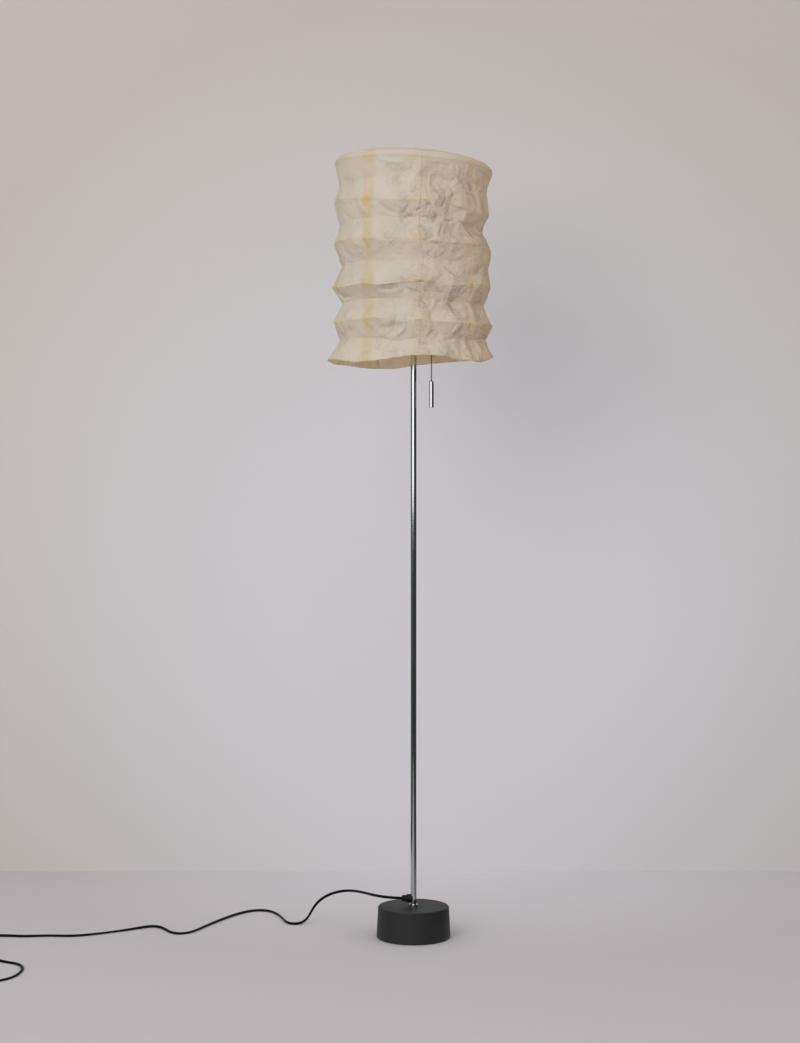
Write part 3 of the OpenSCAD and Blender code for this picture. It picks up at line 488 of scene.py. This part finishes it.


# Old handmade paper: cream, matt, cloudy, crushed into flat facets, with short fibres in it, and yellowed in
# upright bands where it was folded. Its right side is tinted with painted warm shade, and its inside is
# painted warmer and lighter as painted warm light. Sizes are in millimetres.
paperValues = {
    "outside": {
        "name": "handmadePaper", "base": "#e4e4dd", "cloud": "#dad6c8", "old": "#e2ca9d", "sideShadeTint": "#d8bd98",
        "agedShare": 0.85, "through": 0.35, "lit": "#ead9b4",
    },
    # the inside is a copy painted warmer and lighter: painted warm light, for light bounced round inside the
    # shade
    "inside": {
        "name": "handmadePaperInsideWarmLit", "base": "#fcf0da", "cloud": "#f8e9cd", "old": "#f0d2a6",
        "sideShadeTint": "#ebcea4", "agedShare": 0.6, "through": 0.42, "lit": "#fff0d4",
    },
    "glue": "#8b7354",
    "glueEdge": (0.4, 1.6),  # the glue's line along the lap fades out between these
    "glueShare": 0.45,
    # how strongly the painted warm shade tints the right side
    "sideShadeShare": 0.6,
    "wornLeast": 0.25,  # share of the yellowing that is left where a band is palest
    "bandOnRidge": (0.75, 1.2),  # a band's strength inside a fold and along its outward line
    "rubbedShare": 0.3,  # hands have yellowed the outward lines this much
    "cloudSize": 90,
    "patchSize": 22,
    "fibreSize": 2.2,
    "fibreRise": 0.2,
    # each size of crease: how wide its facets are, how steeply they rise over such a width, and how far their
    # edges wander
    "facets": ((34, 20, 6), (18, 6, 3), (7, 2, 1.5)),
    "facetLeast": 0.1,  # share of its rise where the paper is calm
    "facetEdges": (0.38, 0.62),  # of the noise that says where it is calm
    "pinch": (0.09, 0.12),  # how wide and high each facet's edge is pinched, as shares of the facet
    "drift": 0.6,  # waves in each facet of the noise that moves the edges
}


def paperColour(tree, place, look):
    values = paperValues
    wide = addNode(tree, "TexNoise", {
        "Vector": place, "Scale": 1000 / values["cloudSize"], "Detail": 3.0, "Roughness": 0.55,
    })
    patch = addNode(tree, "TexNoise", {
        "Vector": place, "Scale": 1000 / values["patchSize"], "Detail": 4.0, "Roughness": 0.6,
    })
    tone = addNode(tree, "Mix", {
        0: wide.outputs[0], 6: hexColour(look["base"]), 7: hexColour(look["cloud"]),
    }, data_type="RGBA")
    aged = addNode(tree, "Attribute", attribute_name="aged").outputs["Fac"]
    ridge = addNode(tree, "Attribute", attribute_name="ridge").outputs["Fac"]
    paintedSideShade = addNode(tree, "Attribute", attribute_name="paintedSideShade").outputs["Fac"]
    # the bands are patchy, stronger along the outward folds, where hands have rubbed the paper too
    wornLeast = values["wornLeast"] * look["agedShare"]
    worn = addNode(tree, "MapRange", {0: patch.outputs[0], 1: 0.3, 2: 0.7, 3: wornLeast, 4: look["agedShare"]})
    inFold, onLine = values["bandOnRidge"]
    onRidge = addNode(tree, "MapRange", {0: ridge, 3: inFold, 4: onLine})
    handled = addNode(tree, "MapRange", {0: ridge, 1: 0.6, 2: 1.0, 3: 0.0, 4: values["rubbedShare"]})
    banded = addNode(tree, "Math", {0: aged, 1: worn.outputs[0]}, operation="MULTIPLY")
    rubbed = addNode(tree, "Math", {0: handled.outputs[0], 1: worn.outputs[0]}, operation="MULTIPLY")
    yellowing = addNode(tree, "Math", {
        0: banded.outputs[0], 1: onRidge.outputs[0], 2: rubbed.outputs[0],
    }, operation="MULTIPLY_ADD", use_clamp=True)
    yellow = addNode(tree, "Mix", {
        0: yellowing.outputs[0], 6: tone.outputs[2], 7: hexColour(look["old"]),
    }, data_type="RGBA")
    # painted warm shade: the side turned from the window is tinted brown
    side = addNode(tree, "Math", {0: paintedSideShade, 1: values["sideShadeShare"]}, operation="MULTIPLY")
    sideShaded = addNode(tree, "Mix", {
        0: side.outputs[0], 6: yellow.outputs[2], 7: hexColour(look["sideShadeTint"]),
    }, data_type="RGBA")
    # the joint: a thin line of glue along the edge of the lap
    sheet = addNode(tree, "UVMap", uv_map="sheet")
    across = addNode(tree, "SeparateXYZ", {0: sheet.outputs[0]})
    start, end = values["glueEdge"]
    glued = addNode(tree, "MapRange", {
        0: across.outputs[0], 1: start / 1000, 2: end / 1000, 3: values["glueShare"], 4: 0.0,
    })
    joined = addNode(tree, "Mix", {
        0: glued.outputs[0], 6: sideShaded.outputs[2], 7: hexColour(values["glue"]),
    }, data_type="RGBA")
    return joined.outputs[2]


def paperRelief(tree, place):
    values = paperValues
    crushed = addNode(tree, "Attribute", attribute_name="crushed").outputs["Fac"]
    fibre = addNode(tree, "TexNoise", {
        "Vector": place, "Scale": 1000 / values["fibreSize"], "Detail": 4.0, "Roughness": 0.65,
        "Distortion": 1.2,
    })
    fibres = addNode(tree, "Math", {0: fibre.outputs[0], 1: values["fibreRise"] / 1000}, operation="MULTIPLY")
    relief = fibres.outputs[0]
    calm, rough = values["facetEdges"]
    pinchWide, pinchHigh = values["pinch"]
    # straight-edged cells, each one a low roof of flat facets, with a pinched edge
    for size, rise, wander in values["facets"]:
        waves = 1000 * values["drift"] / size
        drift = addNode(tree, "TexNoise", {"Vector": place, "Scale": waves, "Detail": 1.0})
        moved = addNode(tree, "VectorMath", {0: drift.outputs[1], 3: wander / 1000}, operation="SCALE")
        warped = addNode(tree, "VectorMath", {0: place, 1: moved.outputs[0]}, operation="ADD")
        roofs = addNode(tree, "TexVoronoi", {
            "Vector": warped.outputs[0], "Scale": 1000 / size,
        }, feature="DISTANCE_TO_EDGE")
        pinch = addNode(tree, "MapRange", {0: roofs.outputs[0], 1: 0.0, 2: pinchWide, 3: pinchHigh, 4: 0.0})
        folded = addNode(tree, "Math", {0: roofs.outputs[0], 1: pinch.outputs[0]}, operation="ADD")
        least = values["facetLeast"] * rise
        patchy = addNode(tree, "MapRange", {
            0: drift.outputs[0], 1: calm, 2: rough, 3: least / 1000, 4: rise / 1000,
        })
        raised = addNode(tree, "Math", {0: folded.outputs[0], 1: patchy.outputs[0]}, operation="MULTIPLY")
        masked = addNode(tree, "Math", {0: raised.outputs[0], 1: crushed}, operation="MULTIPLY")
        relief = addNode(tree, "Math", {0: relief, 1: masked.outputs[0]}, operation="ADD").outputs[0]
    bump = addNode(tree, "Bump", {"Height": relief, "Distance": 1.0, "Strength": 1.0})
    return bump.outputs[0]


def shadePaper(look):
    material, tree = newMaterial(look["name"])
    place = addNode(tree, "TexCoord").outputs["Object"]
    colour, normal = paperColour(tree, place, look), paperRelief(tree, place)
    matt = addNode(tree, "BsdfPrincipled", {
        "Base Color": colour, "Roughness": 0.85, "Specular IOR Level": 0.25, "Normal": normal,
    })
    glow = addNode(tree, "BsdfTranslucent", {"Color": hexColour(look["lit"]), "Normal": normal})
    mixed = addNode(tree, "MixShader", {0: look["through"], 1: matt.outputs[0], 2: glow.outputs[0]})
    addNode(tree, "OutputMaterial", {"Surface": mixed.outputs[0]})
    return material


shade = makeShade()
shade.data.materials.append(shadePaper(paperValues["outside"]))
shade.data.materials.append(shadePaper(paperValues["inside"]))
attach(shade, "root")
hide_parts("shade_paper")
print("shade made,", len(shade.data.polygons), "faces in its sheet")


def makeSpring():
    node = cadNodes["return_spring"]
    coils = linkObject("returnSpring", node.data.copy())
    coils.data.transform(node.matrix_world)
    bm = bmesh.new()
    bm.from_mesh(coils.data)
    bmesh.ops.remove_doubles(bm, verts=bm.verts, dist=1e-6)
    bm.to_mesh(coils.data)
    bm.free()
    heights = [vertex.co.z for vertex in coils.data.vertices]
    return coils, min(heights), max(heights)


spring, springLow, springHigh = makeSpring()
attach(spring, "root")
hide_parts("return_spring")
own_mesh(spring)

flexValues = {
    "width": 0.0056,
    "length": 2.63,
    "lobe": 0.00175,  # radius of each of its two lobes
    "lobeSide": 0.00115,  # how far each lobe's centre is from the middle
    "lobeSteps": 12,
    "clearance": 0.0001,  # between the lobes and the floor
    "coilTurns": 4.25,
    "coilCentre": (-0.836, -0.335),
    "coilMiddle": 0.066,  # diameter at the middle of its turns
    "coilGap": 0.0005,
    "coilLow": 0.0031,
    "layer": 0.0041,
    "coilStart": 0.05,  # where the route meets the coil's line, before its first turn
    "coilLead": 0.006,  # straight before the first turn and after the last
    "tail": ((0, 0, 0), (0, 0.014, 0), (-0.001, 0.026, -0.001), (-0.003, 0.04, -0.004)),  # from the coil on
    "tailSide": -0.004,
    "sleeve": (0, 0.008, 0.001),  # back from the plug, where the flex enters its sleeve
    "stepsPerTurn": 24,
    "plugHeight": 0.007,
    "plugStart": -0.262,
    "carries": ("coil_tie", "plug_sleeve", "plug_body", "plug_pins", "pin_sleeves"),
    # Millimetres, from the gland to the coil, and how far the flat flex is turned there, in degrees. 0 high is
    # lying on the floor.
    "route": [
        (-24, 0, 79.5, 85), (-52, 3, 80, 82), (-80, 28, 79, 78), (-106, 82, 75, 62), (-136, 136, 68, 62),
        (-168, 152, 59, 84), (-190, 148, 49, 86), (-205, 144, 36, 84), (-215, 136, 19, 80), (-224, 122, 6, 80),
        (-238, 107, 0, 84), (-257, 108, 0, 74), (-268, 131, 0, 64), (-280, 184, 0, 60), (-304, 236, 0, 58),
        (-338, 242, 0, 60), (-374, 208, 0, 70), (-424, 104, 0, 72), (-442, 58, 0, 44), (-458, 28, 0, 40),
        (-478, 17, 0, 52), (-498, 31, 0, 64), (-512, 64, 0, 88), (-530, 87, 0, 84), (-551, 84, 0, 70),
        (-578, 60, 0, 58), (-620, 36, 0, 8), (-688, -8, 0, 70), (-740, 8, 0, 36), (-790, -8, 0, 60),
        (-840, 8, 0, 88), (-874, -16, 0, 80), (-870, -74, 0, 60), (-842, -146, 0, 40), (-800, -214, 0, 30),
        (-760, -224, 0, 20), (-738, -266, 0, 8), (-746, -340, 0, 0),
    ],
}


def coilPoints():
    # the coil winds in, climbs a layer where it turns back, winds out again and runs to the plug
    sizes = flexValues
    pitch = sizes["width"] + sizes["coilGap"]
    half = sizes["coilTurns"] / 2
    inner = sizes["coilMiddle"] / 2 - pitch * half / 2
    outer = inner + pitch * half
    centre = Vector((*sizes["coilCentre"], 0))
    low, top = sizes["coilLow"], sizes["coilLow"] + sizes["layer"]
    found = [centre + Vector((lead, -outer, low)) for lead in (sizes["coilStart"], sizes["coilLead"])]
    for step in range(round(sizes["coilTurns"] * sizes["stepsPerTurn"]) + 1):
        turned = step / sizes["stepsPerTurn"]
        radius = inner + pitch * abs(turned - half)
        climb = min(max((turned - half) * 2 + 0.5, 0), 1)
        turn = -math.pi / 2 - 2 * math.pi * turned
        height = low + sizes["layer"] * climb
        found.append(centre + Vector((radius * math.cos(turn), radius * math.sin(turn), height)))
    coilEnd = Vector((centre.x - outer, centre.y + sizes["coilLead"], top))
    plug = Vector((coilEnd.x + sizes["tailSide"], sizes["plugStart"], sizes["plugHeight"]))
    found += [coilEnd + Vector(step) for step in sizes["tail"]]
    return found + [plug - Vector(sizes["sleeve"]), plug]


def flexLine():
    sizes = flexValues
    turns = [math.radians(turn) for *_, turn in sizes["route"]]
    lying = [sizes["lobe"] + sizes["lobeSide"] * math.sin(turn) + sizes["clearance"] for turn in turns]
    points = [Vector((x / 1000, y / 1000, z / 1000 or low))
              for (x, y, z, _), low in zip(sizes["route"], lying)]
    points += coilPoints()
    curve = bpy.data.curves.new("flexLine", "CURVE")
    curve.dimensions = "3D"
    line = curve.splines.new("NURBS")
    line.points.add(len(points) - 1)
    for number, point in enumerate(points):
        line.points[number].co = (*point, 1)
        line.points[number].tilt = turns[number] if number < len(turns) else 0
    line.order_u = 4
    line.use_endpoint_u = True
    line.resolution_u = 6
    curve.twist_mode = "Z_UP"
    curve.use_fill_caps = True
    return linkObject("flexLine", curve)


def flexSection():
    # two round lobes side by side, with a groove between them
    sizes = flexValues
    curve = bpy.data.curves.new("flexSection", "CURVE")
    curve.dimensions = "2D"
    around = []
    meet = math.acos(sizes["lobeSide"] / sizes["lobe"])
    for side in (1, -1):
        for step in range(sizes["lobeSteps"] + 1):
            turn = (math.pi - meet) * (2 * step / sizes["lobeSteps"] - 1)
            across = sizes["lobeSide"] + sizes["lobe"] * math.cos(turn)
            around.append((side * across, side * sizes["lobe"] * math.sin(turn)))
    outline = curve.splines.new("POLY")
    outline.points.add(len(around) - 1)
    for point, (x, y) in zip(outline.points, around):
        point.co = (x, y, 0, 1)
    outline.use_cyclic_u = True
    return linkObject("flexSection", curve)


def makeFlex():
    line = flexLine()
    bare = bpy.data.meshes.new_from_object(line)
    path = [tuple(vertex.co) for vertex in bare.vertices]
    section = flexSection()
    line.data.bevel_mode = "OBJECT"
    line.data.bevel_object = section
    bpy.context.view_layer.update()
    evaluated = line.evaluated_get(bpy.context.evaluated_depsgraph_get())
    mesh = bpy.data.meshes.new_from_object(evaluated)
    for thing in (line, section):
        bpy.data.objects.remove(thing)
    bm = bmesh.new()
    bm.from_mesh(mesh)
    bmesh.ops.remove_doubles(bm, verts=bm.verts, dist=1e-6)
    bmesh.ops.recalc_face_normals(bm, faces=bm.faces)
    bm.to_mesh(mesh)
    bm.free()
    mesh.materials.clear()
    mesh.materials.append(finishes["black_flex"])
    mesh.shade_smooth()
    mesh.name = "flex"
    return linkObject("flex", mesh), path


flex, flexPath = makeFlex()
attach(flex, "root")
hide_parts("cord_run", "cord_coil", "cord_tail")
flexLength = sum(math.dist(start, end) for start, end in zip(flexPath, flexPath[1:]))
print("flex made,", round(flexLength, 3), "m,", len(flex.data.polygons), "faces")

stageValues = {
    # each one carries a painted pool of light: its colour at its brightest place and away from it, where that
    # place is, and how far off it the change of colour begins and ends
    "floor": ("#dfdcdf", "#c9c5c8", (0.1, 0.8, 0), (0.1, 1.0)),
    "wall": ("#dbdbe0", "#c7c2bc", (0.1, 0.67, 0.65), (0.42, 1.4)),
    "wallBehind": 0.67,
    "wallFoot": -0.02,
    "wallHeight": 4,
    "reach": 6,
}
# What the chrome mirrors: the lit floor and wall near the lamp, the room's unlit sides and, behind the
# camera, a window above a low sill. Each is a card that only reflections see: its corners, and how bright.
roomCards = {
    "roomWall": (((-1.3, 0.74, 0), (1.1, 0.74, 0), (1.1, 0.74, 3), (-1.3, 0.74, 3)), 0.48),
    "roomFloorNear": ((
        (-0.9, -2.4, -0.001), (0.22, -2.4, -0.001), (0.22, 0.74, -0.001), (-0.9, 0.74, -0.001),
    ), 0.4),
    "roomFloorRight": ((
        (0.22, -1.6, -0.001), (0.7, -1.6, -0.001), (0.7, 0.74, -0.001), (0.22, 0.74, -0.001),
    ), 0.16),
    "roomFloor": (((-6, -6, -0.01), (6, -6, -0.01), (6, 0.74, -0.01), (-6, 0.74, -0.01)), 0.035),
    "roomLeft": (((-1.3, -0.9, 0), (-1.3, 0.74, 0), (-1.3, 0.74, 4), (-1.3, -0.9, 4)), 0.08),
    "roomFarLeft": (((-6, -6, 0), (-6, 0.74, 0), (-6, 0.74, 4), (-6, -6, 4)), 0.08),
    "roomRight": (((1.1, 0.74, 0), (1.1, -6, 0), (1.1, -6, 4), (1.1, 0.74, 4)), 0.04),
    "roomBehind": (((-6, -6, 0), (-6, -6, 4), (3.6, -6, 4), (3.6, -6, 0)), 0.04),
    "roomWindow": (((-4.3, -2.2, 0.78), (-4.3, -2.2, 3), (1, -5.2, 3), (1, -5.2, 0.78)), 1.6),
}


def stagePlane(name, corners):
    bm = bmesh.new()
    bm.faces.new([bm.verts.new(corner) for corner in corners])
    mesh = bpy.data.meshes.new(name)
    bm.to_mesh(mesh)
    bm.free()
    plane = linkObject(name, mesh)
    return plane


def paintedLightPool(tree, colour, edge, middle, fade):
    # painted light: brightest round one place, fading to a darker colour away from it
    place = addNode(tree, "TexCoord").outputs["Object"]
    away = addNode(tree, "VectorMath", {0: place, 1: middle}, operation="DISTANCE")
    share = addNode(tree, "MapRange", {0: away.outputs["Value"], 1: fade[0], 2: fade[1]})
    tone = addNode(tree, "Mix", {
        0: share.outputs[0], 6: hexColour(colour), 7: hexColour(edge),
    }, data_type="RGBA")
    return addNode(tree, "BsdfDiffuse", {"Color": tone.outputs[2]})


def stageMaterial(name, lightPool=None, glow=0.0):
    material, tree = newMaterial(name)
    matt = paintedLightPool(tree, *lightPool) if lightPool else addNode(tree, "Emission", {"Strength": glow})
    behind = addNode(tree, "NewGeometry").outputs["Backfacing"]  # a view from behind looks through it
    clear = addNode(tree, "BsdfTransparent")
    chosen = addNode(tree, "MixShader", {0: behind, 1: matt.outputs[0], 2: clear.outputs[0]})
    addNode(tree, "OutputMaterial", {"Surface": chosen.outputs[0]})
    return material


reach, wallBehind = stageValues["reach"], stageValues["wallBehind"]
wallFoot, wallHeight = stageValues["wallFoot"], stageValues["wallHeight"]
stageFloor = stagePlane("stageFloor", [
    (-reach, -reach, 0), (reach, -reach, 0), (reach, reach, 0), (-reach, reach, 0),
])
stageFloor.data.materials.append(stageMaterial("stageFloor", lightPool=stageValues["floor"]))
stageFloor.visible_glossy = False
stageWall = stagePlane("stageWall", [
    (-reach, wallBehind, wallFoot), (reach, wallBehind, wallFoot),
    (reach, wallBehind, wallHeight), (-reach, wallBehind, wallHeight),
])
stageWall.data.materials.append(stageMaterial("stageWall", lightPool=stageValues["wall"]))
stageWall.visible_glossy = False
for cardName, (corners, glow) in roomCards.items():
    card = stagePlane(cardName, corners)
    card.data.materials.append(stageMaterial(cardName, glow=glow))
    card.visible_camera = False
    card.visible_diffuse = False
    card.visible_shadow = False
    card.visible_transmission = False

lightValues = {
    "windowPlace": (-1.8, -3.7, 2.3),
    "windowAim": (0, 0, 1.0),
    "windowSize": (2.6, 2.2),
    "windowPower": 55,
    "windowColour": "#fffdf8",
    "world": "#d0cecf",
    "worldStrength": 1.25,
}
window = linkObject("window", bpy.data.lights.new("window", "AREA"))
window.data.shape = "RECTANGLE"
window.data.size, window.data.size_y = lightValues["windowSize"]
window.data.energy = lightValues["windowPower"]
window.data.color = hexColour(lightValues["windowColour"])[:3]
window.visible_glossy = False  # the window's card is what reflections see
window.location = lightValues["windowPlace"]
window.rotation_mode = "QUATERNION"
window.rotation_quaternion = (Vector(lightValues["windowAim"]) - window.location).to_track_quat("-Z", "Y")
world = bpy.data.worlds.new("room")
world.use_nodes = True
world.node_tree.nodes.clear()
air = addNode(world.node_tree, "Background", {
    "Color": hexColour(lightValues["world"]), "Strength": lightValues["worldStrength"],
})
addNode(world.node_tree, "OutputWorld", {"Surface": air.outputs[0]})
bpy.context.scene.world = world
bpy.context.scene.view_settings.view_transform = "Standard"
print("stage and light set")
